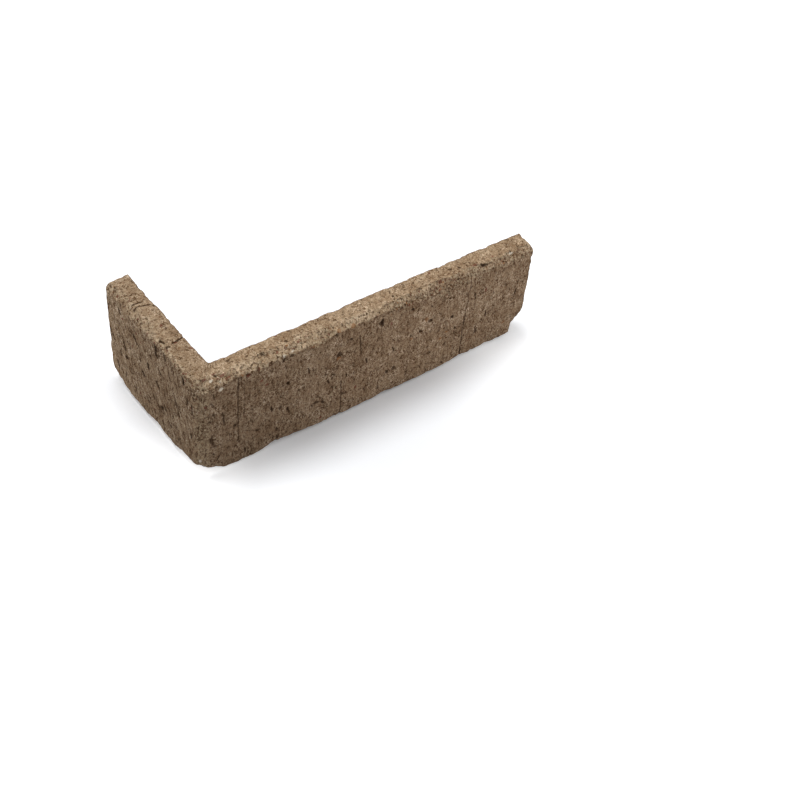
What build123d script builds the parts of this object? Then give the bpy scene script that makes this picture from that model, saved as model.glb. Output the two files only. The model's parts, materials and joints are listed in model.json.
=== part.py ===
from build123d import *

import os

# A corner brick slip: the thin L of fired clay that is sawn off the corner of a brick. Its two outer faces are
# the brick's own stretcher and header faces, and its two inner faces are sawn flat, to be bonded round the
# corner of a wall. It stands on its lower bed, as it is laid. Millimetres, +Z up, with the origin under the
# middle of its box.

# Overall size: the long leg runs along X and the short leg along Y, from the outer corner
stretcher_length = 215.0
header_length = 94.0
thickness = 14.3

# The upper bed isn't quite parallel to the lower one: it falls a little from the corner to the stretcher's end
corner_height = 64.8
fall_to_stretcher_end = 1.4

# Arrises that run upright
outer_corner_radius = 7.0
inner_corner_radius = 1.5
stretcher_end_radius = 3.0
header_end_radius = 3.5
sawn_arris_radius = 0.8

# Worn arrises of the outer faces, at even stations from the outer corner to the end of the leg: how far the
# wear reaches across the bed and along the upright face
stretcher_top_wear = (
    (6.0, 6.0), (6.0, 4.0), (6.0, 4.0), (6.0, 4.0), (6.0, 4.2), (6.5, 5.0), (4.5, 3.2), (4.5, 3.2),
    (5.0, 4.0), (4.0, 3.8), (4.0, 6.5), (4.0, 7.5), (4.0, 6.5), (3.5, 5.0), (3.5, 5.0), (4.0, 5.0),
)  # fmt: skip
header_top_wear = (
    (6.0, 6.0), (3.5, 3.5), (2.6, 2.4), (2.4, 2.2), (2.6, 2.6), (3.6, 3.2), (5.0, 4.0), (5.0, 4.2),
    (4.5, 4.4), (4.0, 4.4), (3.0, 3.2),
)  # fmt: skip
stretcher_foot_wear = (
    (11.0, 11.0), (3.8, 3.8), (2.6, 2.6), (5.6, 5.8), (4.0, 4.4), (3.0, 3.2), (2.4, 2.4), (2.8, 2.8),
    (3.0, 3.0), (2.8, 2.8), (2.4, 2.4), (2.8, 3.0), (4.0, 4.2), (4.4, 4.6), (4.0, 4.0), (4.5, 4.5),
)  # fmt: skip
header_foot_wear = (
    (11.0, 11.0), (6.8, 6.8), (5.6, 5.6), (3.6, 3.8), (3.0, 3.0), (4.8, 5.0), (2.2, 2.2), (3.0, 3.2),
    (3.4, 3.6), (5.6, 6.0), (8.0, 8.5),
)  # fmt: skip

# Worn arrises of the two ends, at even stations from the outer face inwards
stretcher_end_top_wear = ((4.0, 5.0), (3.0, 3.2), (2.0, 2.0), (1.2, 1.2))
header_end_top_wear = ((3.0, 3.2), (2.4, 2.4), (1.8, 1.8), (1.2, 1.2))
header_end_foot_wear = ((8.0, 8.5), (6.0, 6.5), (4.0, 4.0), (2.0, 2.0))

# A worn section is an arc across the arris: its middle lies this share of the reach in from both faces
wear_roundness = 0.36

# Grooves that grit dragged up the stretcher face, and slots that it tore in the header face: distance from the
# outer corner, lowest and highest point, half width, depth
stretcher_grooves = ((22.6, 14.0, 58.0, 1.1, 0.5), (169.0, 6.0, 56.0, 0.9, 0.5), (173.3, 31.0, 56.0, 1.6, 0.6))
header_slots = (
    (15.8, 54.0, 59.0, 1.3, 1.1), (25.0, 27.0, 37.0, 0.9, 0.8), (38.0, 17.5, 22.0, 1.4, 0.9),
    (41.5, 54.0, 59.5, 1.3, 1.1), (62.6, 44.5, 50.5, 1.0, 1.0), (75.7, 33.0, 37.5, 1.0, 0.9),
)  # fmt: skip

# Pits where grit fell out of the faces: distance from the outer corner, height, half width, depth
stretcher_pits = (
    (52.0, 23.0, 1.8, 0.9), (42.0, 29.0, 1.6, 0.8), (52.0, 42.0, 1.5, 0.8), (70.0, 18.5, 2.2, 0.9),
    (84.5, 45.0, 1.7, 0.8), (109.6, 55.0, 2.2, 1.0), (143.0, 41.0, 1.7, 0.9), (159.0, 36.5, 1.6, 0.9),
    (137.0, 36.5, 1.5, 0.8), (186.0, 27.0, 1.5, 0.7),
)  # fmt: skip
header_pits = ((50.8, 39.7, 1.4, 0.8), (74.6, 27.0, 1.5, 0.8), (43.0, 34.0, 1.6, 0.9), (56.4, 30.5, 1.5, 0.8))

# What the saw left: a fine chamfer where the sawn faces and the ends meet the beds
sawn_chamfer = 0.6

# Lower corner at the end of the long leg, broken off with a step in it, and shallower towards the sawn face
break_height = 20.5
break_step_height = 11.0
break_step_depth = 9.0
break_foot_depth = 12.5
break_slant = 0.3

# How far a cutting shape stands clear of the clay
clear = 6.0

left = -stretcher_length / 2
right = stretcher_length / 2
front = -header_length / 2
back = header_length / 2

across_x = Vector(1, 0, 0)
across_y = Vector(0, 1, 0)
up = Vector(0, 0, 1)
down = Vector(0, 0, -1)


def on_upper_bed(x, y):
    """The point of the upper bed over a point of the plan."""
    fall = fall_to_stretcher_end * (x - left) / stretcher_length
    return Vector(x, y, corner_height - fall)


def worn_arris(start, end, inward, into_bed, wear):
    """The clay lost from one arris: at each even station an arc across it, lofted from end to end.

    inward points from the upright face into the clay, and into_bed from the bed into the clay. One more
    station past either end carries the cut clear of the clay.
    """
    step = (end - start) / (len(wear) - 1)
    with BuildPart() as lost:
        for station, (over_bed, over_face) in enumerate((wear[0], *wear, wear[-1])):
            corner = start + step * (station - 1)
            with BuildSketch(Plane(origin=corner, x_dir=inward, z_dir=inward.cross(into_bed))):
                with BuildLine():
                    middle = (wear_roundness * over_bed, wear_roundness * over_face)
                    ThreePointArc((over_bed, 0), middle, (0, over_face))
                    Polyline((0, over_face), (-clear, over_face), (-clear, -clear), (over_bed, -clear), (over_bed, 0))
                make_face()
        loft()
    return lost.part


def torn_out(foot, outward, length, half_width, depth):
    """The clay lost from a groove up an upright face, or from a pit where the length is nothing.

    It is a round bar with round ends, set this deep in the face with its foot at the point given.
    """
    radius = (half_width**2 + depth**2) / (2 * depth)
    with BuildPart(Plane(origin=foot + outward * (radius - depth), x_dir=outward, z_dir=up)) as lost:
        Sphere(radius)
        if length > 0:
            Cylinder(radius, length, align=(Align.CENTER, Align.CENTER, Align.MIN))
            with Locations((0, 0, length)):
                Sphere(radius)
    return lost.part


foot_corner = Vector(left, front, 0)
foot_stretcher_end = Vector(right, front, 0)
foot_header_end = Vector(left, back, 0)
foot_header_sawn = Vector(left + thickness, back, 0)
top_corner = on_upper_bed(left, front)
top_stretcher_end = on_upper_bed(right, front)
top_stretcher_sawn = on_upper_bed(right, front + thickness)
top_header_end = on_upper_bed(left, back)
top_header_sawn = on_upper_bed(left + thickness, back)

clay_lost = [
    worn_arris(foot_corner, foot_stretcher_end, across_y, up, stretcher_foot_wear),
    worn_arris(top_corner, top_stretcher_end, across_y, down, stretcher_top_wear),
    worn_arris(foot_corner, foot_header_end, across_x, up, header_foot_wear),
    worn_arris(top_corner, top_header_end, across_x, down, header_top_wear),
    worn_arris(top_stretcher_end, top_stretcher_sawn, -across_x, down, stretcher_end_top_wear),
    worn_arris(top_header_end, top_header_sawn, -across_y, down, header_end_top_wear),
    worn_arris(foot_header_end, foot_header_sawn, -across_y, up, header_end_foot_wear),
]

for along, lowest, highest, half_width, depth in stretcher_grooves:
    foot = foot_corner + across_x * along + up * lowest
    clay_lost.append(torn_out(foot, -across_y, highest - lowest, half_width, depth))
for along, lowest, highest, half_width, depth in header_slots:
    foot = foot_corner + across_y * along + up * lowest
    clay_lost.append(torn_out(foot, -across_x, highest - lowest, half_width, depth))
for along, height, half_width, depth in stretcher_pits:
    foot = foot_corner + across_x * along + up * height
    clay_lost.append(torn_out(foot, -across_y, 0, half_width, depth))
for along, height, half_width, depth in header_pits:
    foot = foot_corner + across_y * along + up * height
    clay_lost.append(torn_out(foot, -across_x, 0, half_width, depth))

with BuildPart() as corner_slip:
    # The L of the plan, from the lower bed to above the upper one
    with BuildSketch():
        with BuildLine():
            Polyline(
                (left, front),
                (right, front),
                (right, front + thickness),
                (left + thickness, front + thickness),
                (left + thickness, back),
                (left, back),
                close=True,
            )
        make_face()
    extrude(amount=corner_height + clear)

    # Upright arrises: worn round on the outer faces, nearly sharp where the saw left them
    uprights = corner_slip.edges().filter_by(Axis.Z)
    outer_corner = uprights.sort_by_distance((left, front, corner_height / 2))[0]
    inner_corner = uprights.sort_by_distance((left + thickness, front + thickness, corner_height / 2))[0]
    stretcher_arris = uprights.sort_by_distance((right, front, corner_height / 2))[0]
    header_arris = uprights.sort_by_distance((left, back, corner_height / 2))[0]
    stretcher_sawn = uprights.sort_by_distance((right, front + thickness, corner_height / 2))[0]
    header_sawn = uprights.sort_by_distance((left + thickness, back, corner_height / 2))[0]
    fillet(outer_corner, outer_corner_radius)
    fillet(inner_corner, inner_corner_radius)
    fillet(stretcher_arris, stretcher_end_radius)
    fillet(header_arris, header_end_radius)
    fillet([stretcher_sawn, header_sawn], sawn_arris_radius)

    # The upper bed
    to_stretcher_end = top_stretcher_end - top_corner
    to_header_end = top_header_end - top_corner
    upper_bed = Plane(origin=top_corner, x_dir=to_stretcher_end, z_dir=to_stretcher_end.cross(to_header_end))
    split(bisect_by=upper_bed, keep=Keep.BOTTOM)
    beds = corner_slip.faces().sort_by(Axis.Z)
    chamfer(beds[0].edges() + beds[-1].edges(), sawn_chamfer)

    # Worn arrises along the outer faces and the ends, and what grit tore out of the faces
    for lost in clay_lost:
        add(lost, mode=Mode.SUBTRACT)

    # The broken lower corner, drawn on the outer face and carried through to the sawn face
    with BuildSketch(Plane(origin=foot_stretcher_end, x_dir=across_x, z_dir=-across_y)):
        with BuildLine():
            Polyline(
                (-break_foot_depth, -clear),
                (-break_foot_depth, 0),
                (-break_step_depth, break_step_height / 2),
                (-break_step_depth, break_step_height),
                (0, break_height),
                (thickness, break_height + clear),
                (thickness, -clear),
                close=True,
            )
        make_face()
    extrude(amount=thickness + clear, dir=(break_slant, 1, 0), mode=Mode.SUBTRACT)

corner_slip.part.label = "corner_slip"
os.makedirs("parts", exist_ok=True)
export_step(corner_slip.part, "parts/corner_slip.step")
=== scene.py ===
import json
import math

import bpy
import numpy as np
from mathutils import Matrix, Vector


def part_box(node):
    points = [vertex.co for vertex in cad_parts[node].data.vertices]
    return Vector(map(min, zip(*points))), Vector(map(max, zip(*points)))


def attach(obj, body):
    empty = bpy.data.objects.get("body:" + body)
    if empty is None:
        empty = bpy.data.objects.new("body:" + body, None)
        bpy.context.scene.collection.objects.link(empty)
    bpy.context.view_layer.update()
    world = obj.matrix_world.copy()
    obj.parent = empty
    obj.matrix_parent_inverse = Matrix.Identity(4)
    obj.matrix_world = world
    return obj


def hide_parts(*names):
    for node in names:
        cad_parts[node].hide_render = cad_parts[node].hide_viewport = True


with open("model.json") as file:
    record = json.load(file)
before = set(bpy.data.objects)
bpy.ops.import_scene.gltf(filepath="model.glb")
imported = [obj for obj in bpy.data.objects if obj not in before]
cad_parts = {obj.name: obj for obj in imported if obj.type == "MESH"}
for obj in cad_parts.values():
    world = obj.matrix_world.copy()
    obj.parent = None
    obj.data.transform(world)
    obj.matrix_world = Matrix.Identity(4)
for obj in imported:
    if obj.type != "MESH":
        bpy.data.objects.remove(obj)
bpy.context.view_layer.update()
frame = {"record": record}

# The clay body: an L of fired clay, sawn off the corner of a brick. Its outer faces are the brick's own
# stretcher and header, and its inner faces are the saw's. It is one closed surface: a grid that runs along
# the L from the header's end round the corner to the stretcher's end, with a smaller grid over each end.

mm = 0.001
low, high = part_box("corner_slip")
mounts = {mount["name"]: mount for mount in frame["record"]["mounts"]}
stretcher_length = high.x - low.x
header_length = high.y - low.y
thickness = mounts["stretcher_back"]["pos_m"][1] - low.y

spacing = 0.62 * mm
sawn_step = 3  # a step up the sawn face spans this many of the outer face's
steps_sawn = round((high.z - low.z) / spacing / sawn_step)
steps_up = sawn_step * steps_sawn
steps_across = round(thickness / spacing)
steps_header = round(header_length / spacing)
steps_stretcher = round(stretcher_length / spacing)


def section_loop():
    """One turn round the section, as shares of the thickness and the height: up the outer face, in over the
    upper bed, down the sawn face and back out under the lower bed."""
    rise = np.arange(steps_up) / steps_up
    reach = np.arange(steps_across) / steps_across
    fall = np.arange(steps_sawn) / steps_sawn
    depth = np.concatenate([0 * rise, reach, 0 * fall + 1, 1 - reach])
    level = np.concatenate([rise, 0 * reach + 1, 1 - fall, 0 * reach])
    return depth, level


def surface_grid():
    """Points as (leg, share of the way from that leg's end to the mitre, distance from the outer face, share
    of the height), and the faces between them. Rings of the section stand at even shares along each leg, so
    the steps are shorter along the sawn face, and the ring at the corner lies on the mitre."""
    depth, level = section_loop()
    along_header = np.arange(steps_header + 1) / steps_header
    along_stretcher = 1 - np.arange(1, steps_stretcher + 1) / steps_stretcher
    ring_share = np.concatenate([along_header, along_stretcher])[:, None]
    ring_leg = np.concatenate([0 * along_header, 0 * along_stretcher + 1])[:, None]
    rings, turn = len(ring_share), len(depth)
    columns = np.broadcast_arrays(ring_leg, ring_share, depth * thickness, level)
    points = [np.stack(columns, -1).reshape(-1, 4)]

    index = np.arange(rings * turn).reshape(rings, turn)
    after = np.roll(index, -1, axis=1)
    faces = np.stack([index[:-1], index[1:], after[1:], after[:-1]], -1).reshape(-1, 4).tolist()

    inner_depth, inner_level = np.meshgrid(
        np.arange(1, steps_across) / steps_across, np.arange(1, steps_up) / steps_up, indexing="ij"
    )
    top, back, foot = steps_up, steps_up + steps_across, steps_up + steps_across + steps_sawn
    for ring, end_leg in ((0, 0), (rings - 1, 1)):
        start = sum(len(block) for block in points)
        columns = (0 * inner_depth + end_leg, 0 * inner_depth, inner_depth * thickness, inner_level)
        points.append(np.stack(columns, -1).reshape(-1, 4))
        cap = np.zeros((steps_across, steps_up + 1), int)
        cap[1:, 1:-1] = start + np.arange(inner_depth.size).reshape(inner_depth.shape)
        loop = ring * turn + np.arange(turn)
        cap[0, :] = loop[: top + 1]
        cap[:, -1] = loop[top:back]
        cap[1:, 0] = loop[foot + 1 :][::-1]
        sawn = loop[back : foot + 1][::-1]
        quads = np.stack([cap[:-1, :-1], cap[1:, :-1], cap[1:, 1:], cap[:-1, 1:]], -1).reshape(-1, 4)
        beside = cap[-1, np.arange(steps_sawn)[:, None] * sawn_step + np.arange(sawn_step, -1, -1)]
        strips = np.concatenate([sawn[:-1, None], sawn[1:, None], beside], 1)
        for block in (quads, strips):
            faces += (block[:, ::-1] if end_leg == 0 else block).tolist()
    return np.concatenate(points), faces


grid, faces = surface_grid()
leg, share, across, level = grid.T
on_stretcher = leg == 1
leg_length = np.where(on_stretcher, stretcher_length, header_length)
from_end = share * (leg_length - across)


def ease(value, start, end):
    """0 up to start, 1 from end on, and between them the curve 3t^2 - 2t^3 of the share t of the way."""
    share = np.clip((value - start) / (end - start), 0, 1)
    return share * share * (3 - 2 * share)


def along(values, share):
    """A value at each point: the values stand at even steps from share 0 to 1, joined by eased curves."""
    place = np.clip(share, 0, 1) * (len(values) - 1)
    step = np.minimum(place.astype(int), len(values) - 2)
    values = np.array(values)
    return values[step] + (values[step + 1] - values[step]) * ease(place - step, 0, 1)


def chance(cells, seed):
    """A number from 0 to 1 for each cell of a lattice: the part after the point of a large multiple of the
    sine of its indices' weighted sum, to which the seed adds a step."""
    index_weights = np.array([12.9898, 78.233, 37.719])
    seed_step, multiple = 4.137, 43758.5453
    mixed = np.sin(cells @ index_weights + seed_step * seed) * multiple
    return mixed - np.floor(mixed)


def clouds(places, size, seed):
    """Smooth noise: each corner of a lattice of this size has a random slope, and the heights that those
    slopes give at a place are blended by the curve 3t^2 - 2t^3, and then stretched to about -1 to 1."""
    stretch = 1.6
    cell = np.floor(places / size)
    inside = places / size - cell
    weight = inside * inside * (3 - 2 * inside)
    total = np.zeros(len(places))
    for corner in np.ndindex(2, 2, 2):
        slope = np.stack([chance(cell + corner, seed + part) for part in range(3)], -1) * 2 - 1
        total += ((inside - corner) * slope).sum(-1) * np.where(corner, weight, 1 - weight).prod(-1)
    return stretch * total


def hollows(places, size, radii, share, seed):
    """Round hollows, 0 on the surface to 1 at their middles: this share of a lattice's cells hold one, at a
    random place and with a radius r between the two given. At a distance d it is 1 - (d / r)^2 deep."""
    cell = np.floor(places / size)
    deepest = np.zeros(len(places))
    for step in np.ndindex(3, 3, 3):
        near = cell + step - 1
        middle = (near + np.stack([chance(near, seed + part) for part in range(3)], -1)) * size
        radius = radii[0] + (radii[1] - radii[0]) * chance(near, seed + 3) ** 2
        depth = 1 - ((places - middle) ** 2).sum(-1) / radius**2
        deepest = np.maximum(deepest, np.where(chance(near, seed + 4) < share, depth, 0))
    return deepest


def worn(first, second, first_reach, second_reach, first_power=1.55, second_power=1.55):
    """Wears an arris round. first and second are a point's distances from the two faces that meet there, and
    a and b those distances as shares of how far the wear reaches along each face. The layer at depth m has
    its corner at (m, m), and the stretch of it within 1 - m of that corner goes onto the curve
    (1 - a)^j + (1 - b)^k = 1, so that every layer keeps its own round corner. A power of 2 meets its face
    smoothly and one of 1 leaves a crease."""
    first, second = first / first_reach, second / second_reach
    depth = np.clip(np.minimum(first, second), 0, 1)
    room = np.maximum(1 - depth, 1e-9)
    one, two = (first - depth) / room, (second - depth) / room
    near = (one < 1) & (two < 1)
    angle = np.clip(math.pi / 4 * (1 + two - one), 0, math.pi / 2)
    one_worn = 1 - np.sin(angle) ** (2 / first_power)
    two_worn = 1 - np.cos(angle) ** (2 / second_power)
    return (
        np.where(near, depth + room * one_worn, first) * first_reach,
        np.where(near, depth + room * two_worn, second) * second_reach,
    )


# How far the wear reaches from each arris in over the bed and along the upright face, in millimetres, at even
# stations from the outer corner to the end of the leg. At the foot it reaches as far both ways, but at the
# header's end it reaches further up the face.
stretcher_top_bed = (6.0, 6.0, 6.0, 6.0, 6.0, 6.5, 4.5, 4.5, 5.0, 4.0, 4.0, 4.0, 4.0, 3.5, 3.5, 4.0)
stretcher_top_face = (6.0, 4.0, 4.0, 4.0, 4.2, 5.0, 3.2, 3.2, 4.0, 3.8, 6.5, 7.5, 6.5, 5.0, 5.0, 5.0)
header_top_bed = (6.0, 3.5, 2.6, 2.4, 2.6, 3.6, 5.0, 5.0, 4.5, 4.0, 3.0)
header_top_face = (6.0, 3.5, 2.4, 2.2, 2.6, 3.2, 4.0, 4.2, 4.4, 4.4, 3.2)
stretcher_foot = (11.0, 7.4, 3.4, 1.8, 2.2, 2.4, 5.6, 5.2, 4.2, 3.6, 3.1, 2.7, 2.4, 2.6, 2.8, 2.9,
                  3.0, 2.9, 2.8, 2.6, 2.4, 2.6, 2.9, 3.5, 4.1, 4.4, 4.5, 4.3, 4.0, 4.2, 4.5)  # fmt: skip
header_foot = (11.0, 6.8, 5.6, 3.7, 3.0, 4.9, 2.2, 3.1, 3.5, 5.8, 8.2)
header_foot_face = (11.0, 6.8, 5.6, 3.7, 3.0, 4.9, 2.2, 3.1, 3.5, 6.4, 11.0)
# The wear of the two ends' arrises, in millimetres, at even stations from the outer face inwards
stretcher_end_top = (4.5, 3.1, 2.0, 1.2)
header_end_top = (2.6, 2.2, 1.7, 1.2)
stretcher_end_foot = (4.5, 3.2, 2.0, 1.0)
header_end_foot = (8.3, 6.3, 4.0, 2.0)
header_end_foot_face = (11.0, 8.0, 5.0, 2.5)
# How far the upper bed lies below its true plane, in millimetres, at even stations along the legs
stretcher_sag = (0.4, 0.3, 0.3, 0.2, 0.1, 0.1, 0.0, 0.0, 0.0, 0.0, 0.0, 0.0, 0.1, 0.4, 0.7, 0.9)
header_sag = (0.4, 0.5, 0.6, 0.6, 0.2, 0.0, 0.0, 0.0, 0.1, 0.1, 0.2)
sawn_wear = 0.7 * mm
outer_corner_radius = 7.0 * mm
inner_corner_radius = 1.5 * mm
header_end_radius = 3.5 * mm
stretcher_end_radius = 3.0 * mm

# The broken lower corner of the stretcher's end: how much of the end is gone, in millimetres, at even heights
# from the floor up, and less towards the sawn face. Its arris is sharper. Behind it, and behind the worn
# arrises of an end, the grid closes up over these lengths.
break_height = 20.5 * mm
break_depth = (13.2, 12.0, 10.0, 9.3, 9.2, 9.0, 7.2, 4.6, 2.2, 0.5, 0.0)
break_slant = 0.3
break_arris_radius = 1.2 * mm
break_gives_way = 40 * mm
wear_gives_way = 15 * mm

# Small knocks make the wear uneven, most at the header's foot. The legs stand far apart in their noise, and
# near the corner and the ends they fade.
legs_apart = 40 * mm
outwards = 1 - from_end / leg_length
run = np.stack([leg_length - from_end, legs_apart * leg, across], -1)
top_knocks = 0.40 * clouds(run, 7 * mm, 11) + 0.30 * clouds(run, 3 * mm, 12)
foot_knocks = (0.45 - 0.30 * leg) * clouds(run, 11 * mm, 14) + (0.26 - 0.14 * leg) * clouds(run, 4 * mm, 15)
least_by_corner, least_by_end = 0.25, 0.4
by_corner = least_by_corner + (1 - least_by_corner) * ease(leg_length - from_end, 8 * mm, 26 * mm)
by_end = least_by_end + (1 - least_by_end) * ease(from_end, 3 * mm, 14 * mm)


def wear_reach(stretcher_wear, header_wear, stretcher_end_wear, header_end_wear, knocks):
    """Reach of the wear at each point: the leg's own, which gives way to its end's where the end is nearer,
    times 1 and the small knocks."""
    beside = np.where(on_stretcher, along(stretcher_wear, outwards), along(header_wear, outwards))
    inwards = across / thickness
    at_end = np.where(on_stretcher, along(stretcher_end_wear, inwards), along(header_end_wear, inwards))
    nearer_end = ease(across - from_end, -3 * mm, 3 * mm)
    return (beside + (at_end - beside) * nearer_end) * (1 + knocks * by_corner * by_end) * mm


top_bed = wear_reach(stretcher_top_bed, header_top_bed, stretcher_end_top, header_end_top, top_knocks)
top_face = wear_reach(stretcher_top_face, header_top_face, stretcher_end_top, header_end_top, top_knocks)
foot_bed = wear_reach(stretcher_foot, header_foot, stretcher_end_foot, header_end_foot, foot_knocks)
foot_face = wear_reach(
    stretcher_foot, header_foot_face, stretcher_end_foot, header_end_foot_face, foot_knocks
)
# Wear that slopes gently in over the bed ends in a crease on the face, and steep wear in one on the bed
gentle = ease(top_bed / top_face, 0.7, 1.3)
crease_power, smooth_power, foot_face_power, round_power = 1.0, 1.7, 1.5, 2.0


def bed_height(x, y):
    """Height of the upper bed over a point of the plan: the plane through its mount, square to its axis, less
    the sag of the leg."""
    point, axis = mounts["upper_bed"]["pos_m"], mounts["upper_bed"]["axis"]
    plane = point[2] - (axis[0] * (x + low.x - point[0]) + axis[1] * (y + low.y - point[1])) / axis[2]
    return plane - np.where(on_stretcher, along(stretcher_sag, outwards), along(header_sag, outwards)) * mm


def body_points():
    """Places the grid: the arrises at the beds are worn first, then the upright ones and the broken corner,
    and last the inner and outer corners where the legs meet."""
    plan_x = np.where(on_stretcher, stretcher_length - from_end, across)
    plan_y = np.where(on_stretcher, across, header_length - from_end)
    top = bed_height(plan_x, plan_y)
    height = level * top
    end_shift, out = 0 * across, across.copy()
    for over_bed, over_face, at_top in ((top_bed, top_face, True), (foot_bed, foot_face, False)):
        end = share * (leg_length - out) + end_shift
        from_bed = top - height if at_top else height
        edge = np.minimum(end, out)
        bed_power, face_power = smooth_power, foot_face_power
        if at_top:
            bed_power = crease_power + (smooth_power - crease_power) * gentle
            face_power = smooth_power - (smooth_power - crease_power) * gentle
        moved, from_bed_worn = worn(edge, from_bed, over_bed, over_face, bed_power, face_power)
        shift = moved - edge
        # A point on the layer of the outer face steps in from it, and one on the end's layer steps in from
        # the end; what lies behind closes up towards the sawn face or the middle of the leg.
        end_shift = end_shift + shift * np.clip(1 - (end - edge) / wear_gives_way, 0, 1)
        out = out + shift * np.clip(1 - (out - edge) / np.maximum(thickness - edge, 0.1 * mm), 0, 1)
        height = top - from_bed_worn if at_top else from_bed_worn
        behind = thickness - out
        behind, from_bed_worn = worn(behind, top - height if at_top else height, sawn_wear, sawn_wear)
        out = thickness - behind
        height = top - from_bed_worn if at_top else from_bed_worn
    end = share * (leg_length - out) + end_shift
    radius = np.where(on_stretcher, stretcher_end_radius, header_end_radius)
    broken = along(break_depth, height / break_height) * mm - break_slant * out * (height < break_height)
    broken = np.maximum(broken, 0) * on_stretcher
    radius = radius + (break_arris_radius - radius) * ease(broken, 0, 3 * mm)
    end, out = worn(end, out, radius, radius, round_power, round_power)
    end = end + broken * np.clip(1 - end / break_gives_way, 0, 1)
    plan_x = np.where(on_stretcher, stretcher_length - end, out)
    plan_y = np.where(on_stretcher, out, header_length - end)
    # The saw's run-out where the two inner faces meet
    past_x, past_y = np.maximum(plan_x - thickness, 0), np.maximum(plan_y - thickness, 0)
    radius = inner_corner_radius
    filled_x, filled_y = worn(past_x, past_y, radius, radius, round_power, round_power)
    inner = ease(out, 0.5 * thickness, thickness) * (np.minimum(past_x, past_y) < mm / 1000)
    plan_x = plan_x + (filled_x - past_x) * inner
    plan_y = plan_y + (filled_y - past_y) * inner
    radius = outer_corner_radius
    plan_x, plan_y = worn(plan_x, plan_y, radius, radius, round_power, round_power)
    return np.stack([plan_x, plan_y, height], -1), top


points, bed_top = body_points()

# How much of each point is sawn face, upright outer face or worn arris, each with a soft edge
soft_edge = 1.5 * mm
sawn_face = ease(across, thickness - 1.2 * mm, thickness) * ease(from_end, 0, soft_edge)
below_top = bed_top - points[:, 2]
from_bed = np.minimum(below_top, points[:, 2])
crease = (0.15 + 0.60 * gentle) * top_face
upright = ease(below_top, crease - 0.5 * mm, crease + 0.7 * mm) * ease(points[:, 2], 0, soft_edge)
upright = upright * (1 - sawn_face)
outside = np.minimum(across, from_end)
at_arris = (1 - ease(outside, 0.7 * top_bed, 1.3 * top_bed)) * (1 - sawn_face)
wear = at_arris * (1 - ease(below_top, 0.8 * top_face, 1.2 * top_face))
wear = np.maximum(wear, 0.45 * at_arris * (1 - ease(points[:, 2], 2 * mm, 5 * mm)))
under_crease = upright * np.exp(-(((below_top - crease - 0.9 * mm) / (0.8 * mm)) ** 2)) * gentle
# The upright outer corner is crumbly too, and dusty near its foot
off_corner = np.hypot(points[:, 0] - 2 * mm, points[:, 1] - 2 * mm)
corner_crumbs = (1 - ease(off_corner, 2 * mm, 6 * mm)) * (1 - sawn_face)
wear = np.maximum(wear, 0.6 * corner_crumbs)
dusted = (1 - 0.6 * ease(points[:, 2], 22 * mm, 42 * mm)) * corner_crumbs
sawn_rim = ease(across, thickness - 2.5 * mm, thickness) * (1 - ease(from_bed, 0, 2 * mm))
# The clay's grain is drawn out upwards, more on the header, where it also leans outwards. A step up the slip
# is only this share of a step in the grain's own places.
towards_stretcher = ease(points[:, 0] - points[:, 1], -6 * mm, 6 * mm)
header_draw, stretcher_draw, header_lean = 0.36, 0.58, 0.30
draw = header_draw + (stretcher_draw - header_draw) * towards_stretcher
flow = points / mm
flow[:, 1] -= header_lean * flow[:, 2] * (1 - towards_stretcher)
flow[:, 2] = high.z / mm + (flow[:, 2] - high.z / mm) * draw

# Single marks that the maker's mould, the drying and the handling left: (x, y, z of the middle; half length
# each way; depth), in millimetres from the outer corner on the floor
stretcher_pits = (
    (52, 0, 23, 1.3, 2, 1.6, 0.9), (42, 0, 29, 1.3, 2, 1.3, 0.8), (52, 0, 42, 1.2, 2, 1.5, 0.8),
    (70, 0, 18.5, 3.0, 2, 1.3, 0.9), (87, 0, 16, 1.4, 2, 1.8, 0.9), (84.5, 0, 45, 1.2, 2, 1.8, 0.8),
    (20.5, 0, 29, 1.8, 2, 1.6, 0.9), (7, 1, 26, 2.0, 2, 5.0, 0.9), (14, 0, 36, 0.9, 2, 4.5, 0.7),
    (109.6, 0, 55, 2.0, 3, 2.2, 1.1), (143, 0, 41, 1.6, 2, 1.6, 0.9), (159, 0, 36.5, 1.5, 2, 1.3, 0.9),
    (137, 0, 36.5, 1.2, 2, 1.5, 0.8), (130, 0, 55, 1.6, 2, 1.1, 0.7), (178.8, 0, 17, 0.9, 2, 2.6, 0.8),
    (186, 0, 27, 1.0, 2, 1.8, 0.7), (54, 0, 60, 1.8, 2, 1.4, 0.9), (90.6, 0, 53, 1.6, 2, 1.4, 0.8),
    (144, 0.5, 60, 5.5, 3, 1.6, 0.42), (149, 0.5, 58, 3.0, 3, 1.3, 0.40),
)  # fmt: skip
header_pits = (
    (0, 78.6, 55.5, 2, 0.9, 2.2, 0.7), (0, 62.6, 47.7, 2, 0.9, 4.2, 1.0), (0, 75.7, 35, 2, 0.9, 3.2, 0.9),
    (0, 41.5, 57.5, 2, 1.2, 4.6, 1.1), (0, 74.6, 27, 2, 1.3, 1.6, 0.8), (0, 50.8, 39.7, 2, 1.0, 2.0, 0.8),
    (0, 43, 34, 2, 1.0, 2.6, 0.9), (0, 56.4, 30.5, 2, 1.2, 1.6, 0.8), (0, 15.8, 57, 2, 1.2, 3.2, 1.2),
    (0, 25, 32, 2, 0.7, 6.5, 0.8), (0, 38, 20, 2, 1.6, 3.0, 0.9), (1, 6.5, 40, 2, 0.8, 7.0, 0.7),
)  # fmt: skip
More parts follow.
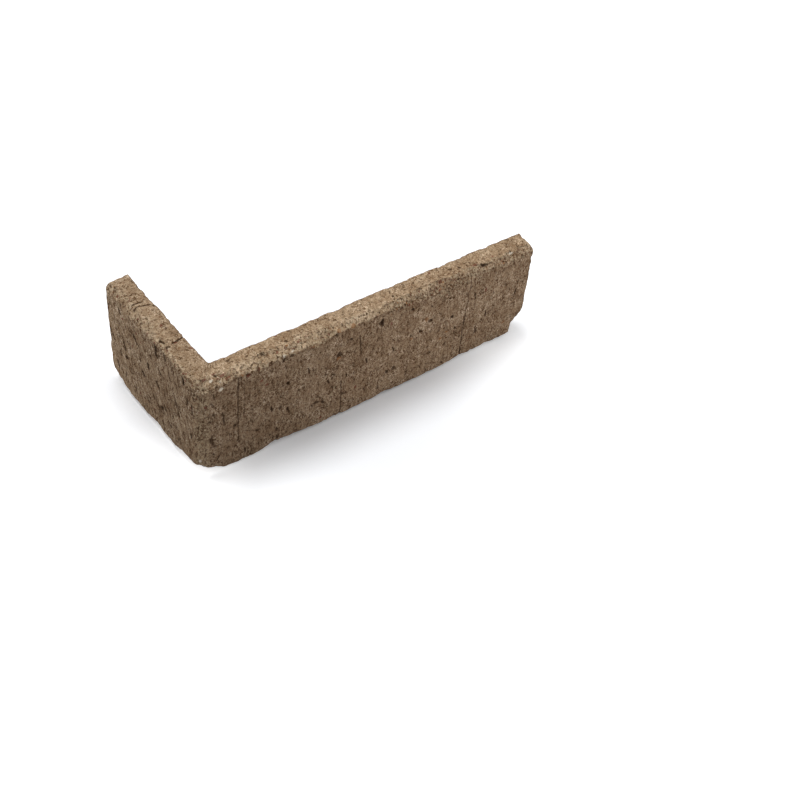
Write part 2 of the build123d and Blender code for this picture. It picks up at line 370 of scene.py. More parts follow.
bed_pits = (
    (179.5, 2.4, 62, 2.0, 1.3, 2, 1.0), (2.5, 40, 63, 1.4, 2.6, 3, 0.9),
    (4.0, 34.5, 64, 1.3, 1.2, 2, 0.8), (40, 6.2, 64, 1.4, 1.1, 2, 0.5), (7.5, 4.5, 64, 1.6, 1.0, 2, 0.5),
    (176, 4.2, 63, 2.0, 0.9, 2, 0.5),
)  # fmt: skip
# Slots, cracks and lines that grit dragged or tore in the skin, each from one end to the other, with its half
# width and strength: (x, z) on the stretcher, (y, z) on the header and (x, y) on the upper bed
stretcher_cuts = (
    (22.6, 61, 22.4, 38, 0.6, 0.85), (22.1, 38, 22.4, 16, 0.6, 0.8), (26.0, 58, 25.6, 24, 0.6, 0.65),
    (85.7, 26, 86.1, 1, 0.65, 0.80), (96, 53.3, 96.7, 45.8, 0.7, 0.80),
    (96.7, 45.8, 98, 38.9, 0.65, 0.75), (170.4, 61, 169.8, 55, 0.5, 0.8),
    (169.8, 55, 169.2, 45.4, 0.5, 0.85), (169.2, 45.4, 168.3, 32.6, 0.5, 0.8),
    (168.3, 32.6, 168.9, 1, 0.55, 0.9), (168.3, 30.5, 168.4, 29.9, 0.9, 1.0),
    (172.3, 57.8, 175, 35.2, 0.6, 0.7), (174, 46, 174.4, 42.4, 0.9, 0.85),
    (184, 29.3, 184.1, 25.1, 0.8, 0.9), (177.7, 20.3, 178, 15.4, 0.8, 0.8),
    (204.9, 35.9, 204.5, 33.2, 0.8, 0.9), (199.7, 38.3, 199.9, 37.4, 0.9, 0.8),
    (158.9, 36.6, 159.3, 35.8, 0.8, 0.95), (144.2, 41.4, 144.5, 40.5, 0.9, 0.85),
    (143.4, 51.2, 143.6, 50.6, 0.9, 0.8), (162.3, 23.4, 164.8, 21.7, 0.7, 0.7),
    (154.9, 53.8, 155, 53.2, 0.9, 0.75), (130.4, 55.2, 130.7, 54.5, 1.0, 1.0),
    (136.8, 36.6, 137, 36.2, 0.9, 0.8), (118.4, 34, 119.7, 30.7, 0.8, 0.85), (107, 54, 107, 50, 0.8, 0.7),
    (110.4, 57, 110.8, 53, 1.1, 1.0), (101.2, 34.2, 101.9, 31.2, 0.8, 0.95),
    (91, 53.2, 91.1, 52.8, 1.0, 0.75), (84, 47, 82.8, 44.5, 0.8, 0.9), (88.8, 28.9, 89, 28.2, 1.0, 0.8),
    (101.3, 12.1, 101.5, 11.3, 0.9, 0.75), (110.5, 12.2, 110.9, 7.6, 0.9, 0.6),
    (139.3, 9.4, 139.6, 8.5, 0.9, 0.75), (122, 16.7, 122.3, 15.8, 0.9, 0.75),
    (143.4, 9, 147, 7.7, 0.7, 0.7), (41.9, 30.5, 42.5, 27.5, 0.8, 1.0), (38.3, 30.2, 42, 28.7, 0.5, 0.65),
    (52.2, 23.8, 53.2, 20.1, 0.9, 0.8), (25.3, 22.3, 34.5, 17.6, 0.55, 0.75),
    (33.2, 18.4, 33.5, 17.9, 0.9, 0.9), (19.8, 29.7, 20, 29.2, 1.0, 0.75),
    (26.1, 8.8, 26.5, 6.4, 0.9, 0.8), (41.2, 10.6, 41.5, 9.7, 1.0, 0.75),
    (51.8, 42.4, 52.1, 41.7, 0.9, 1.0), (64.1, 46.3, 65.1, 42.1, 0.8, 0.8),
    (73.5, 17.6, 74.4, 16, 0.9, 0.95), (67, 18, 67.5, 16.8, 0.9, 0.85), (70.5, 22.5, 73, 20, 0.6, 0.7),
    (75.5, 23, 77.5, 20.8, 0.6, 0.65), (82, 23.8, 82.2, 22.2, 0.8, 0.75),
    (7.2, 51.5, 8.4, 48.8, 1.1, 0.7), (5.6, 27.1, 7.2, 23.4, 1.5, 0.55), (7.2, 23.4, 9, 19.9, 1.8, 0.64),
    (9, 19.9, 11.2, 20.4, 1.4, 0.60), (11.1, 12.1, 9.5, 9.3, 0.8, 0.85),
    (13.4, 42.4, 13.8, 38.7, 0.8, 0.75), (1.2, 62, 1.5, 60.4, 0.9, 0.9), (186, 8, 186.4, 6.6, 0.8, 0.7),
    (192, 50, 192.6, 47, 0.7, 0.6), (196, 21, 196.4, 18, 0.7, 0.6), (58, 31, 58.4, 28.6, 0.7, 0.6),
    (76, 50, 76.3, 47.5, 0.7, 0.65), (34, 46, 34.3, 43.5, 0.7, 0.6), (8.4, 57, 8.7, 54.4, 0.8, 0.8),
    (76.8, 30.8, 77.8, 28.6, 0.9, 0.9), (80.2, 33.4, 80.9, 32.7, 0.9, 0.85),
    (79.6, 25.2, 80.4, 23.4, 0.8, 0.8), (27.6, 60.4, 29.6, 59.6, 0.8, 0.7),
)  # fmt: skip
header_cuts = (
    (65.5, 49.5, 59.6, 45.4, 1.2, 1.0), (76.7, 36, 74.9, 32.1, 1.35, 0.9),
    (79.4, 57.3, 77.5, 55.3, 1.35, 0.85), (84.4, 49.3, 84.7, 43, 1.3, 0.65),
    (75.7, 26.5, 73, 26.9, 1.45, 0.75), (85.2, 16.3, 84.2, 12.9, 1.35, 0.75),
    (77, 14.2, 76.8, 11.5, 1.2, 0.75), (51.2, 41.1, 50.3, 38.4, 1.35, 0.85),
    (57.5, 30.3, 55.7, 28.9, 1.35, 0.85), (40, 46.3, 37.8, 44.2, 1.2, 0.85),
    (43, 60.1, 42.2, 55.2, 1.3, 1.0), (42.2, 55.2, 40.5, 54.1, 1.35, 0.95),
    (33.8, 60.7, 32.8, 58.1, 1.35, 0.85), (28.3, 62.1, 28.4, 60.7, 1.3, 0.65),
    (16, 59, 15.6, 56, 1.3, 1.0), (43.7, 34.1, 40.8, 32.6, 1.35, 0.85),
    (68.1, 59.8, 66.9, 58.6, 1.35, 0.75), (66.3, 11.9, 65.3, 8, 1.35, 0.7),
    (54.7, 14.5, 53.1, 11.8, 1.2, 0.65), (24.6, 39.4, 22.6, 34, 1.2, 0.85),
    (22.6, 34, 20.6, 28.6, 1.0, 0.75), (12, 49.1, 11.6, 46, 1.2, 0.8), (7.9, 58.5, 7.9, 54.5, 1.0, 0.65),
    (7.4, 48, 7.7, 41.5, 1.2, 0.8), (39.5, 19.7, 37.2, 17, 1.3, 1.0), (35.9, 23.6, 34.9, 20.8, 1.2, 0.85),
    (32.9, 15.2, 29.9, 13.2, 1.35, 0.75), (9.9, 25.3, 9.4, 23.9, 1.3, 0.9),
    (23.3, 9.8, 20.6, 12.6, 1.2, 0.65), (48, 22, 46.8, 19, 1.2, 0.7), (70, 40, 69, 37.4, 1.2, 0.75),
    (60, 38.5, 59, 36.4, 1.2, 0.7), (30, 52, 29, 49, 1.2, 0.7), (81, 27, 80.2, 24, 1.2, 0.7),
    (47.5, 50, 46.6, 47.6, 1.2, 0.7), (71, 21, 70, 18.6, 1.2, 0.7),
)  # fmt: skip
bed_cuts = (
    (1.4, 67, 6.3, 68.1, 0.6, 0.8), (6.3, 68.1, 11.8, 66.4, 0.6, 1.0), (3.6, 70.9, 9.1, 70.6, 0.6, 0.95),
    (6.5, 35.6, 9.8, 36.3, 0.6, 0.95), (9.8, 36.3, 14, 36.8, 0.7, 1.0), (2.8, 34.7, 2.7, 34.3, 1.0, 1.0),
    (2.6, 40.4, 3.3, 37.8, 0.9, 0.95), (3.9, 49.1, 9.4, 49.3, 0.5, 0.6),
    (199.4, 4.5, 199.4, 4.1, 1.0, 1.0), (177.9, 3.2, 179.6, 1.8, 1.0, 0.75),
    (174.4, 4.5, 176, 3.9, 0.8, 0.75), (165.7, 8.3, 166.5, 7, 0.8, 0.85),
    (136.7, 10.1, 136.6, 9.7, 0.9, 0.85), (121.2, 7.4, 121.4, 6.9, 0.9, 0.95),
    (39.7, 6.3, 40.2, 6.1, 1.2, 0.75), (34.8, 2.7, 35.1, 2.4, 1.1, 0.9),
    (22.6, 10.7, 23.1, 10.5, 1.1, 0.85), (54.5, 7.7, 55.2, 7, 1.0, 0.95),
    (65.4, 1.3, 66.4, 0.8, 1.0, 0.95), (56.6, 1.5, 57, 1.2, 0.9, 0.8), (9.9, 21.3, 10.1, 20.8, 0.8, 0.65),
    (10.7, 62.5, 10.8, 61.6, 0.8, 0.7), (128.4, 9.2, 129, 8.8, 0.8, 0.75), (90, 9, 90.5, 8.4, 0.8, 0.7),
    (9, 78, 9.6, 77.2, 0.7, 0.7), (5.5, 84, 6.2, 83.4, 0.7, 0.65), (12, 5.2, 12.8, 4.6, 0.8, 0.85),
    (11.4, 2.6, 13.4, 0.6, 0.7, 0.8), (18.4, 1.9, 20.2, 1.6, 0.7, 0.75),
)  # fmt: skip
# Pale scratches on the stretcher, which took away no clay
pale_scratches = (
    (83.3, 25.4, 78.6, 18.6, 0.45, 0.8), (74.9, 33.8, 71.8, 31.8, 0.45, 0.7),
    (76.8, 36.6, 74.6, 32.6, 0.4, 0.7), (85, 30.5, 82, 27, 0.4, 0.6), (81, 22, 77.5, 17, 0.35, 0.6),
    (79, 38, 77, 35, 0.35, 0.6),
)  # fmt: skip

# Single grains of other clays in the skin, listed as the pits are. The seventh number, where there is one, is
# how strongly the grain shows.
red_grains = (
    (6.4, 5.3, 64, 1.3, 0.8, 2), (15.4, 3.7, 64, 1.6, 0.9, 2), (35, 0, 60.5, 1.0, 2, 1.0),
    (12, 6.2, 64, 1.2, 0.7, 2), (148.5, 11.5, 63, 1.2, 0.7, 2), (150.3, 3.6, 63, 1.5, 0.8, 2),
    (174.6, 4.6, 63, 2.0, 1.0, 2), (181.2, 0, 46.3, 1.0, 2, 1.6), (8.2, 35.5, 64, 1.1, 1.0, 2),
    (8.6, 49.8, 64, 1.0, 0.9, 2), (36, 0, 52, 1.0, 2, 0.9), (116, 0, 52, 0.8, 2, 1.5),
    (4, 0, 50, 0.9, 2, 1.2), (95, 0, 17, 0.8, 2, 1.4), (73, 0, 6, 0.7, 2, 1.1),
    (16.8, 1.6, 63, 1.5, 0.9, 1.4), (10.1, 0.8, 63, 1.2, 1.2, 1.2), (18.7, 1.8, 63, 1.0, 0.8, 1.4),
    (27.4, 0.4, 62.2, 1.4, 1.0, 1.2), (28.4, 0, 59.8, 1.5, 1.5, 1.1), (39, 0, 48.2, 1.3, 2, 0.9),
)  # fmt: skip
orange_grains = (
    (82.8, 1.0, 62.5, 1.6, 1.2, 2), (91.8, 0.6, 62, 1.8, 1.6, 2), (83.5, 0, 43.1, 1.6, 2, 1.0),
    (140.3, 0, 43.6, 1.3, 2, 1.8), (131, 0, 34, 1.1, 2, 1.0), (152, 0, 24, 1.4, 2, 0.8),
    (156, 0, 27, 1.2, 2, 0.8), (199, 0, 14, 1.4, 2, 1.2),
)  # fmt: skip
pale_grains = (
    (13.2, 0.6, 62.8, 1.0, 1.6, 1.4), (9.2, 3.5, 64, 1.0, 0.8, 2), (49.7, 0.5, 62.5, 1.3, 1.2, 2),
    (12.7, 0, 58.6, 1.2, 2, 1.1), (199, 3.0, 63, 1.3, 1.0, 2), (0.6, 2.5, 11, 1.2, 1.4, 2.2),
    (0.8, 1.6, 20, 1.2, 1.2, 1.6), (186, 0, 38, 0.9, 2, 1.4, 0.12), (46, 0, 17, 0.8, 2, 0.8, 0.12),
    (55, 1.5, 63, 1.2, 0.7, 2), (61, 0, 36, 1.3, 2, 0.7, 0.14), (187, 0, 55, 1.0, 2, 0.8, 0.12),
    (13.9, 0.4, 63.3, 0.9, 1.0, 0.9, 0.3), (5.6, 0.3, 62.5, 0.8, 1.0, 0.8, 0.3),
)  # fmt: skip


def marks(places, rows):
    """Depth of the listed marks: each is an ellipsoid hollow, 1 - d^2 of its depth at a share d of the way
    out. A row with no depth counts as 1 deep."""
    deepest = np.zeros(len(places))
    for x, y, z, half_x, half_y, half_z, *depth in rows:
        out_by = ((places - (x, y, z)) / (half_x, half_y, half_z)) ** 2
        deepest = np.maximum(deepest, (depth or [1])[0] * (1 - out_by.sum(-1)))
    return deepest


def cuts(first, second, rows):
    """Strength of the listed cuts at places of one face: at a distance d from a cut's line, whose ends are
    included, it is its strength times exp(-(d / half width)^2)."""
    strongest = np.zeros(len(first))
    for from_first, from_second, to_first, to_second, half_width, strength in rows:
        run_first, run_second = to_first - from_first, to_second - from_second
        ahead = (first - from_first) * run_first + (second - from_second) * run_second
        share = np.clip(ahead / (run_first**2 + run_second**2), 0, 1)
        off = (first - from_first - share * run_first) ** 2 + (second - from_second - share * run_second) ** 2
        strongest = np.maximum(strongest, strength * np.exp(-off / half_width**2))
    return strongest


def relief():
    """How far the surface stands over the plain form at each point and the depth of its pits, in millimetres,
    and the strength of its cuts. Each layer of noise is its height times clouds of a size in millimetres, and
    each lot of pocks its depth times round hollows."""
    places = points / mm
    warp = np.stack([clouds(places, 2.2, 90 + part) for part in range(3)], -1)
    rough = flow + 0.9 * warp
    skin = 1 - sawn_face

    swell = 0.40 * clouds(places, 26, 1) + 0.30 * clouds(places, 11, 2)
    lumps = 0.30 * clouds(places, 5, 3) + 0.30 * clouds(rough, 2.4, 4) + 0.20 * clouds(rough, 1.5, 5)
    knocked = wear * (0.55 * clouds(places, 6, 6) + 0.50 * clouds(places, 2.8, 7))
    nicked = 0.60 * clouds(places, 9, 9) + 0.55 * clouds(places, 4, 10) + 0.45 * clouds(places, 2, 13)
    streaks = upright * 0.12 * clouds(places * [1, 1, 0.12] + 0.5 * warp, 1.7, 8)
    large = 1.0 * hollows(rough, 6.0, (0.9, 1.6), 0.13, 20)
    middling = 0.8 * hollows(rough, 3.0, (0.6, 1.0), 0.32, 30)
    small = 0.6 * hollows(rough + 0.2 * warp, 1.8, (0.45, 0.85), 0.50, 40)
    pocks = np.maximum(np.maximum(large, middling), small) * (0.7 + 0.3 * upright)

    wavy = places + 0.5 * warp
    listed = np.maximum.reduce([marks(wavy, rows) for rows in (stretcher_pits, header_pits, bed_pits)])
    x, y, z = (places + 0.25 * warp).T
    cut = cuts(x, z, stretcher_cuts) * (1 - ease(y, 3, 5)) * towards_stretcher
    cut = np.maximum(cut, cuts(y, z, header_cuts) * (1 - ease(x, 3, 5)) * (1 - towards_stretcher))
    cut = np.maximum(cut, cuts(x, y, bed_cuts) * (1 - ease(below_top, 1.5 * mm, 3 * mm)))

    # The blade's marks run along the sawn faces
    blade = 0.10 * clouds(places * [0.03, 0.03, 1], 2.6, 60) + 0.05 * clouds(places, 3, 61)
    raised = (swell + lumps + knocked + streaks) * skin + (0.35 * swell + blade) * sawn_face
    raised = raised + nicked * sawn_rim
    return raised, np.maximum(pocks * (1 - 0.85 * sawn_face), listed * skin), cut


raised, pitted, cut = relief()
scratched = cuts(points[:, 0] / mm, points[:, 2] / mm, pale_scratches)
scratched = scratched * (1 - ease(points[:, 1], 3 * mm, 5 * mm))
grains_shown = {
    name: marks(points / mm, rows)
    for name, rows in (("red", red_grains), ("orange", orange_grains), ("pale", pale_grains))
}
# Lumps rise no further than the slip's true faces, where they level off. Their feet lie this far below.
stands_proud = 0.20
cut_depth = 0.5
sink = stands_proud - stands_proud * np.tanh(np.maximum(raised, 0) / stands_proud) - np.minimum(raised, 0)
sink += np.maximum(pitted, cut_depth * cut)

mesh = bpy.data.meshes.new("corner_slip_clay")
mesh.from_pydata((points + [low.x, low.y, 0]).tolist(), [], faces)
normals = np.empty(len(points) * 3, np.float32)
mesh.vertex_normals.foreach_get("vector", normals)
points = points + [low.x, low.y, 0] - normals.reshape(-1, 3) * (sink * mm)[:, None]
points = np.clip(points, list(low), list(high))
mesh.vertices.foreach_set("co", points.ravel())
mesh.polygons.foreach_set("use_smooth", np.ones(len(faces), bool))
mesh.update()
shown = {"upright": upright, "stretcher": towards_stretcher, "sawn": sawn_face, "wear": wear}
shown.update(under=under_crease, pitted=pitted, cut=cut, raised=raised, dusted=dusted, scratched=scratched)
shown.update(grains_shown)
for name, values in shown.items():
    mesh.attributes.new(name, "FLOAT", "POINT").data.foreach_set("value", values.astype(np.float32))
drawn_out = mesh.attributes.new("flow", "FLOAT_VECTOR", "POINT")
drawn_out.data.foreach_set("vector", flow.astype(np.float32).ravel())
clay_body = bpy.data.objects.new("clay_body", mesh)
bpy.context.scene.collection.objects.link(clay_body)
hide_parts("corner_slip")
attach(clay_body, "root")


class Finish:
    """One output of a node in a material. Arithmetic on it adds Math nodes, and node() adds any other."""

    def __init__(self, tree, socket=None):
        self.tree, self.socket = tree, socket

    def node(self, kind, settings=None, values=None, output=0):
        """Adds a node of this type. Its settings come first, then each socket gets its value or its link."""
        made = self.tree.nodes.new(kind)
        for name, setting in (settings or {}).items():
            if name == "stops":
                for _ in setting[2:]:
                    made.color_ramp.elements.new(1)
                for element, (position, colour) in zip(made.color_ramp.elements, setting):
                    element.position, element.color = position, colour
            elif name == "steps":
                made.color_ramp.interpolation = setting
            else:
                setattr(made, name, setting)
        for name, value in (values or {}).items():
            if isinstance(value, Finish):
                self.tree.links.new(value.socket, made.inputs[name])
            else:
                made.inputs[name].default_value = value
        return Finish(self.tree, made.outputs[output])

    def math(self, operation, first, second):
        return self.node("ShaderNodeMath", {"operation": operation}, {0: first, 1: second})

    def __add__(self, other):
        return self.math("ADD", self, other)

    def __sub__(self, other):
        return self.math("SUBTRACT", self, other)

    def __rsub__(self, other):
        return self.math("SUBTRACT", other, self)

    def __mul__(self, other):
        return self.math("MULTIPLY", self, other)

    def __pow__(self, other):
        return self.math("POWER", self, other)

    __radd__ = __add__
    __rmul__ = __mul__

    def at_least(self, other):
        """The larger of this number and another."""
        return self.math("MAXIMUM", self, other)

    def vector(self, operation, other, output="Vector"):
        """Vector Math on this vector or colour and another."""
        return self.node("ShaderNodeVectorMath", {"operation": operation}, {0: self, 1: other}, output)

    def scale(self, amount):
        """This vector or colour times a number."""
        return self.node("ShaderNodeVectorMath", {"operation": "SCALE"}, {0: self, "Scale": amount})

    def ramp(self, start, end):
        """0 up to start, 1 from end on, with an eased curve between; start may be the larger."""
        return self.node(
            "ShaderNodeMapRange",
            {"interpolation_type": "SMOOTHSTEP"},
            {"Value": self, "From Min": start, "From Max": end},
        )

    def between(self, first, second):
        """The colour that lies this share of the way from the first to the second."""
        return self.node("ShaderNodeMix", {"data_type": "RGBA"}, {0: self, 6: first, 7: second}, output=2)

    def mix(self, share, other):
        """This colour, with this share of another over it."""
        return share.between(self, other)


clay = bpy.data.materials.new("fired_clay")
clay.use_nodes = True
start = Finish(clay.node_tree)
surface = clay.node_tree.nodes["Principled BSDF"]


def carried(name, output="Fac"):
    """What the mesh carries under this name at each point."""
    return start.node("ShaderNodeAttribute", {"attribute_name": name}, output=output)


def cloud(where, size, detail=2.0, roughness=0.6, output="Fac"):
    """Smooth noise around 0.5 whose broadest clouds are this many millimetres across, with so many finer
    layers, each of them this share of the one before."""
    values = {"Vector": where, "Scale": 1 / size, "Detail": detail, "Roughness": roughness}
    return start.node("ShaderNodeTexNoise", None, values, output=output)


def grains(where, size, lot="Red"):
    """Distance from the middle of the nearest grain, as a share of the size, and that grain's own lot, from 0
    to 1."""
    values = {"Vector": where, "Scale": 1 / size}
    distance = start.node("ShaderNodeTexVoronoi", None, values, output="Distance")
    colour = start.node("ShaderNodeTexVoronoi", None, values, output="Color")
    return distance, start.node("ShaderNodeSeparateColor", None, {"Color": colour}, output=lot)


upright_face, on_stretcher_face, sawn = carried("upright"), carried("stretcher"), carried("sawn")
worn_arris, under, proud, dusty = carried("wear"), carried("under"), carried("raised"), carried("dusted")
pit, slot, scratch = carried("pitted"), carried("cut"), carried("scratched")
red, orange, pale = carried("red"), carried("orange"), carried("pale")

# Places in millimetres, plain and as the grain is drawn out. A small random jolt makes both uneven, and two
# more are drawn out along the drag lines and along the blade's marks.
place = start.node("ShaderNodeTexCoord", output="Object").scale(1 / mm)
jolt = cloud(place, 1.3, 2, output="Color").vector("SUBTRACT", (0.5, 0.5, 0.5)).scale(2.4)
drawn = carried("flow", output="Vector")
torn = drawn.vector("ADD", jolt)
loose = place.vector("ADD", jolt)
dragged = loose.vector("MULTIPLY", (1, 1, 0.12))
bladed = place.vector("MULTIPLY", (0.03, 0.03, 1))

# Painted light: the stretcher's bed colour is lighter than the header's, and the header's upright face
# lighter than the stretcher's, for light and shade that the lamps don't give.
header_tan = (0.385, 0.262, 0.160, 1)
stretcher_tan = (0.435, 0.296, 0.180, 1)
header_brown = (0.390, 0.264, 0.164, 1)
stretcher_brown = (0.312, 0.204, 0.125, 1)
sawn_brown = (0.200, 0.127, 0.077, 1)
cream = (0.70, 0.55, 0.37, 1)
pale_tan = (0.50, 0.37, 0.24, 1)
white_grit = (0.90, 0.80, 0.66, 1)
red_grit = (0.17, 0.045, 0.026, 1)
orange_grit = (0.36, 0.15, 0.050, 1)
dark_grit = (0.034, 0.015, 0.006, 1)
shadow_brown = (0.085, 0.042, 0.018, 1)

# Patterns, from the broadest mottling to dust, and the share of the surface that each kind of mark covers
skin = 1 - sawn
mottle = cloud(place, 16, 3)
patch = cloud(drawn, 4.5, 3)
grit = cloud(torn, 1.05, 3, 0.75)
dust = cloud(place, 0.6, 2, 0.8)
streak = cloud(dragged, 1.1, 2)
blade_marks = cloud(bladed, 0.9, 3)
crumbly = cloud(place, 8, 2).ramp(0.38, 0.62)
pore = cloud(torn, 1.9, 3, 0.6).ramp(0.368, 0.350)
prick = (cloud(torn, 0.95, 1, 0.5) - 0.03 * worn_arris).ramp(0.352, 0.328)
chip = cloud(loose, 1.2, 2, 0.6).ramp(0.630, 0.665)
slit = cloud(torn.vector("MULTIPLY", (1, 1, 0.5)), 1.6, 2, 0.5).ramp(0.385, 0.365) * upright_face
slit = slit * (1 - 0.6 * on_stretcher_face)
arris_crumbs_and_highlight = cloud(loose, 1.2, 2, 0.6).ramp(0.54, 0.61) * worn_arris
crumb_edge, crumb_lot = grains(loose, 1.35)
crumb = crumb_edge.ramp(0.58, 0.44)
speck_edge, speck_lot = grains(loose, 2.4, "Green")
speck = speck_edge.ramp(0.34, 0.26)

# The fired clay. Its upright faces carry painted shade near the foot of the outer corner and painted light
# far from it, towards the stretcher's end.
foot_of_corner = (low.x / mm + 4, low.y / mm + 2, 8)
out_of_corner_shade = place.vector("DISTANCE", foot_of_corner, "Value").ramp(10, 140)
bed_tan = on_stretcher_face.between(header_tan, stretcher_tan)
face_brown = on_stretcher_face.between(header_brown, stretcher_brown).scale(0.77 + 0.37 * out_of_corner_shade)
colour = bed_tan.mix(upright_face, face_brown).mix(sawn, sawn_brown)
uneven = 1.0 * (patch - 0.5) + (3.1 * (grit - 0.5) + 2.5 * (dust - 0.5)) * (0.7 + 0.9 * crumbly)
uneven = uneven * (1 + (0.4 - 0.15 * on_stretcher_face) * upright_face) * (1 - 0.5 * sawn)
middle_tone, darkest_tone = 1.04, 0.22
# Painted light: the clay is lighter where its relief stands proud and darker where it sinks, and the bed's
# side of a worn arris is painted lighter as a highlight.
tone = middle_tone + 0.8 * (mottle - 0.5) + uneven + 0.22 * proud + 0.16 * worn_arris * (1 - upright_face)
tone = tone + 1.2 * (streak - 0.5) * upright_face + 1.3 * (blade_marks - 0.5) * sawn
tone = tone.at_least(darkest_tone)
# Dark clay is also the more strongly coloured: its green and its blue fall faster than its red
green_fall, blue_fall = 1.20, 1.42
shade = start.node("ShaderNodeCombineXYZ", None, {0: tone, 1: tone**green_fall, 2: tone**blue_fall})
colour = colour.vector("MULTIPLY", shade)
# Loose crumbs of every kind, chips, dust and specks
crumb_share = 0.14 + 0.58 * worn_arris + 0.10 * sawn
crumb_colour = start.node(
    "ShaderNodeValToRGB",
    {
        "steps": "CONSTANT",
        "stops": [(0, dark_grit), (0.10, shadow_brown), (0.22, stretcher_brown), (0.34, stretcher_tan),
                  (0.50, pale_tan), (0.73, cream), (0.925, red_grit), (0.975, orange_grit)],
    },
    {"Fac": crumb_lot},
)  # fmt: skip
colour = colour.mix(crumb * crumb_share, crumb_colour)
colour = colour.mix(chip * (0.25 + 0.35 * crumbly) * skin, pale_tan)
# Worn arrises: pale crumbs, and a painted highlight where the rounded arris faces the light
colour = colour.mix(arris_crumbs_and_highlight * 0.40, cream)
colour = colour.mix(dusty * cloud(loose, 1.1, 2).ramp(0.48, 0.58) * 0.75, pale_tan)
colour = colour.mix(speck * speck_lot.ramp(0.955, 0.96) * 0.6, cream)
colour = colour.mix(speck * speck_lot.ramp(0.030, 0.025) * 0.7, red_grit)
# Scratches and single grains, then everything that lies in shadow: the crease, pores, slits, pits and slots
colour = colour.mix((scratch * (0.5 + dust)).ramp(0.3, 0.8) * 0.5, cream)
colour = colour.mix(pale.ramp(0.0, 0.4) * 0.85, white_grit)
colour = colour.mix(orange.ramp(0.0, 0.5) * 0.6, orange_grit)
colour = colour.mix(red.ramp(0.0, 0.5) * 0.75, red_grit)
colour = colour.mix(under * patch.ramp(0.42, 0.6) * 0.65, shadow_brown)
colour = colour.mix(prick * 0.65 * skin, shadow_brown)
colour = colour.mix(pore * 0.85 * skin, shadow_brown)
colour = colour.mix(slit * 0.85, shadow_brown)
colour = colour.mix(pit.ramp(0.2, 0.6) * 0.7, dark_grit)
colour = colour.mix((slot * (0.65 + 0.7 * dust)).ramp(0.40, 0.75) * 0.85, dark_grit)
clay.node_tree.links.new(colour.socket, surface.inputs["Base Color"])
surface.inputs["Roughness"].default_value = 0.92
surface.inputs["Specular IOR Level"].default_value = 0.05

# The finest relief, in millimetres
height = grit * 0.9 - pore * 0.4 - prick * 0.2 + chip * 0.12 + patch * 0.4
height = (height + crumb * (0.06 + 0.18 * worn_arris)) * skin
height = height + streak * upright_face * 0.2 + blade_marks * sawn * 0.3 + dust * 0.3
bump = start.node("ShaderNodeBump", None, {"Strength": 1.0, "Distance": mm, "Height": height})
clay.node_tree.links.new(bump.socket, surface.inputs["Normal"])
mesh.materials.append(clay)

# The floor: a wide white sheet that the slip stands on. A glow that only the camera sees paints light on it:
# least in front of the stretcher, where the slip's shadow is deepest, and more under the header's foot, round
# the corner and far away, where the sheet is to be pure white. There it lightens the slip's shadow.
floor_mesh = bpy.data.meshes.new("floor")
half_width = 3.0
sheet_corners = [(-half_width, -half_width, 0), (half_width, -half_width, 0),
                 (half_width, half_width, 0), (-half_width, half_width, 0)]  # fmt: skip
floor_mesh.from_pydata(sheet_corners, [], [(0, 1, 2, 3)])
floor = bpy.data.objects.new("floor", floor_mesh)
bpy.context.scene.collection.objects.link(floor)
paper = bpy.data.materials.new("paper")
paper.use_nodes = True
sheet = Finish(paper.node_tree)
paper_surface = paper.node_tree.nodes["Principled BSDF"]
paper_grey = (0.75, 0.75, 0.75, 1)
paper_white = (0.95, 0.97, 1, 1)
seen = sheet.node("ShaderNodeLightPath", output="Is Camera Ray")
seen = seen.at_least(sheet.node("ShaderNodeLightPath", output="Is Glossy Ray"))
paper_colour = seen.between(paper_grey, paper_white)
paper.node_tree.links.new(paper_colour.socket, paper_surface.inputs["Base Color"])

# Places on the sheet, in millimetres, and how far each patch of light or shade reaches from the outer corner
place = sheet.node("ShaderNodeTexCoord", output="Object").scale(1 / mm)
place_x, place_y = (sheet.node("ShaderNodeSeparateXYZ", None, {0: place}, output=axis) for axis in "XY")
corner_x, corner_y = low.x / mm, low.y / mm
off_shadow = place.vector("DISTANCE", (corner_x + 102, corner_y - 10, 0), "Value")
off_foot = place.vector("DISTANCE", (corner_x + 6, corner_y, 0), "Value")
behind = place_y.ramp(corner_y, corner_y + 60)
by_header = place_x.ramp(corner_x - 30, corner_x - 5) * place_x.ramp(corner_x + 10, corner_x)
past_end = place_x.ramp(corner_x + 182, corner_x + 205) * place_x.ramp(corner_x + 255, corner_x + 225)
past_end = past_end * place_y.ramp(corner_y - 12, corner_y + 6)
out_from_foot = (corner_x - place_x).at_least(corner_y - place_y)
under_foot = out_from_foot.ramp(1.2, -2.4) * place_x.ramp(corner_x + 26, corner_x + 2)
held_back = (1 - behind * (0.60 + 0.25 * by_header)) * (1 - 0.5 * past_end)
# Painted light: the camera-only glow that lightens the slip's shadow under the header's foot, round the
# corner and away from the stretcher's front
glow_everywhere, glow_under_foot, glow_round_foot, glow_near, glow_far = 0.05, 0.26, 0.12, 0.56, 0.4
glow = glow_everywhere + glow_under_foot * under_foot + glow_round_foot * off_foot.ramp(26, 6)
glow = glow + glow_near * off_shadow.ramp(30, 150) * held_back + glow_far * off_shadow.ramp(250, 1200)
glow = glow * seen
glow_colour = sheet.node("ShaderNodeCombineXYZ", None, {0: glow, 1: glow, 2: glow})
paper.node_tree.links.new(glow_colour.socket, paper_surface.inputs["Emission Color"])
paper_surface.inputs["Emission Strength"].default_value = 1.0
paper_surface.inputs["Roughness"].default_value = 1.0
paper_surface.inputs["Specular IOR Level"].default_value = 0.0
floor_mesh.materials.append(paper)

# The light: a soft box high above the slip and a little behind it, a weaker one low on its right, and a pale
# room around them.


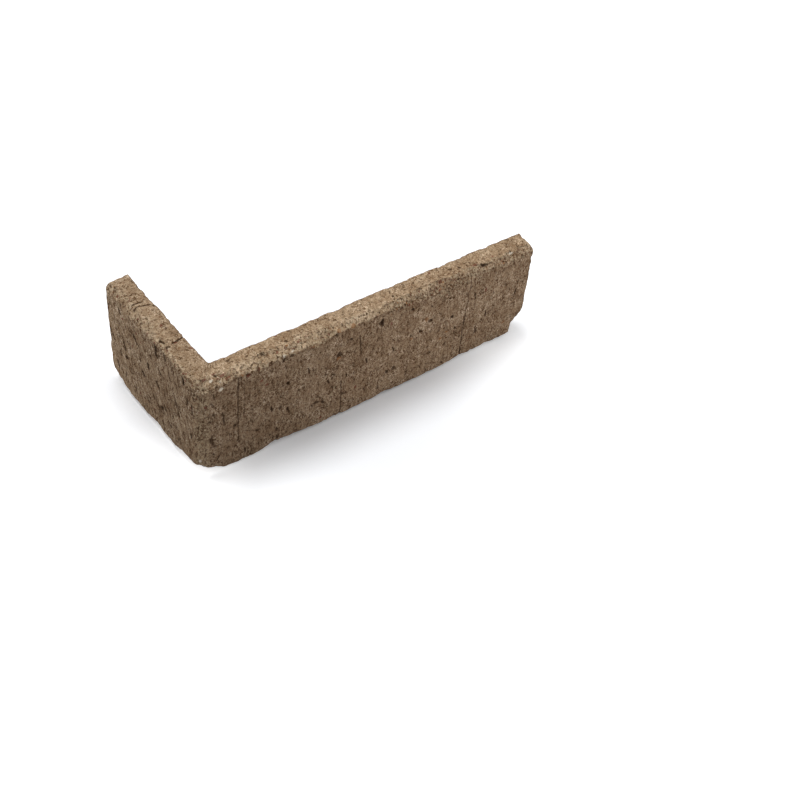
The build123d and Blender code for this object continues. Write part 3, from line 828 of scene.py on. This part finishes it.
def placed(right, upward, back, place):
    """Where a lamp or a camera stands, as a matrix of its own three directions and its place. It looks
    against the third of them."""
    matrix = np.eye(4)
    matrix[:3] = np.stack([right, upward, back, place], -1)
    return Matrix(matrix.tolist())


def light_box(name, place, size, power):
    """A round area lamp at this place, turned towards the middle of the slip."""
    lamp = bpy.data.lights.new(name, "AREA")
    lamp.shape = "DISK"
    lamp.size = size
    lamp.energy = power
    box = bpy.data.objects.new(name, lamp)
    bpy.context.scene.collection.objects.link(box)
    away = np.array(place) / np.linalg.norm(place)
    side = np.cross([0, 1, 0], away)
    side /= np.linalg.norm(side)
    box.matrix_world = placed(side, np.cross(away, side), away, place)


light_box("soft_box", (-0.16, 0.40, 1.55), 0.8, 15)
light_box("fill_box", (0.75, -0.35, 0.45), 0.5, 1.6)
room = bpy.data.worlds.new("room")
room.use_nodes = True
room.node_tree.nodes["Background"].inputs["Color"].default_value = (1, 1, 1, 1)
air = Finish(room.node_tree)
seen = air.node("ShaderNodeLightPath", output="Is Camera Ray")
for name in ("Is Glossy Ray", "Is Transmission Ray"):
    seen = seen.at_least(air.node("ShaderNodeLightPath", output=name))
room_strength = 0.45
strength = room_strength + (1 - room_strength) * seen
room.node_tree.links.new(strength.socket, room.node_tree.nodes["Background"].inputs["Strength"])
bpy.context.scene.world = room

# The camera: it stands off the outer corner and looks down on the slip, turned a little about its own axis.
# Everything from near to far is sharp. Its angles are in degrees, and its lens and sensor in millimetres.
azimuth, elevation, roll = math.radians(-41.31), math.radians(44.66), math.radians(6.14)
distance = 0.71149
aim = np.array([low.x + 0.10392, low.y - 0.02688, 0.025])
focal_length, sensor_width = 61.49, 36
back = np.array([
    math.sin(azimuth) * math.cos(elevation),
    -math.cos(azimuth) * math.cos(elevation),
    math.sin(elevation),
])
level_right = np.array([math.cos(azimuth), math.sin(azimuth), 0])
level_up = np.cross(back, level_right)
right = math.cos(roll) * level_right + math.sin(roll) * level_up
upward = math.cos(roll) * level_up - math.sin(roll) * level_right
lens = bpy.data.cameras.new("camera")
lens.lens = focal_length
lens.sensor_width = sensor_width
camera = bpy.data.objects.new("camera", lens)
bpy.context.scene.collection.objects.link(camera)
camera.matrix_world = placed(right, upward, back, aim + back * distance)
bpy.context.scene.camera = camera

bpy.context.scene.view_settings.view_transform = "Standard"
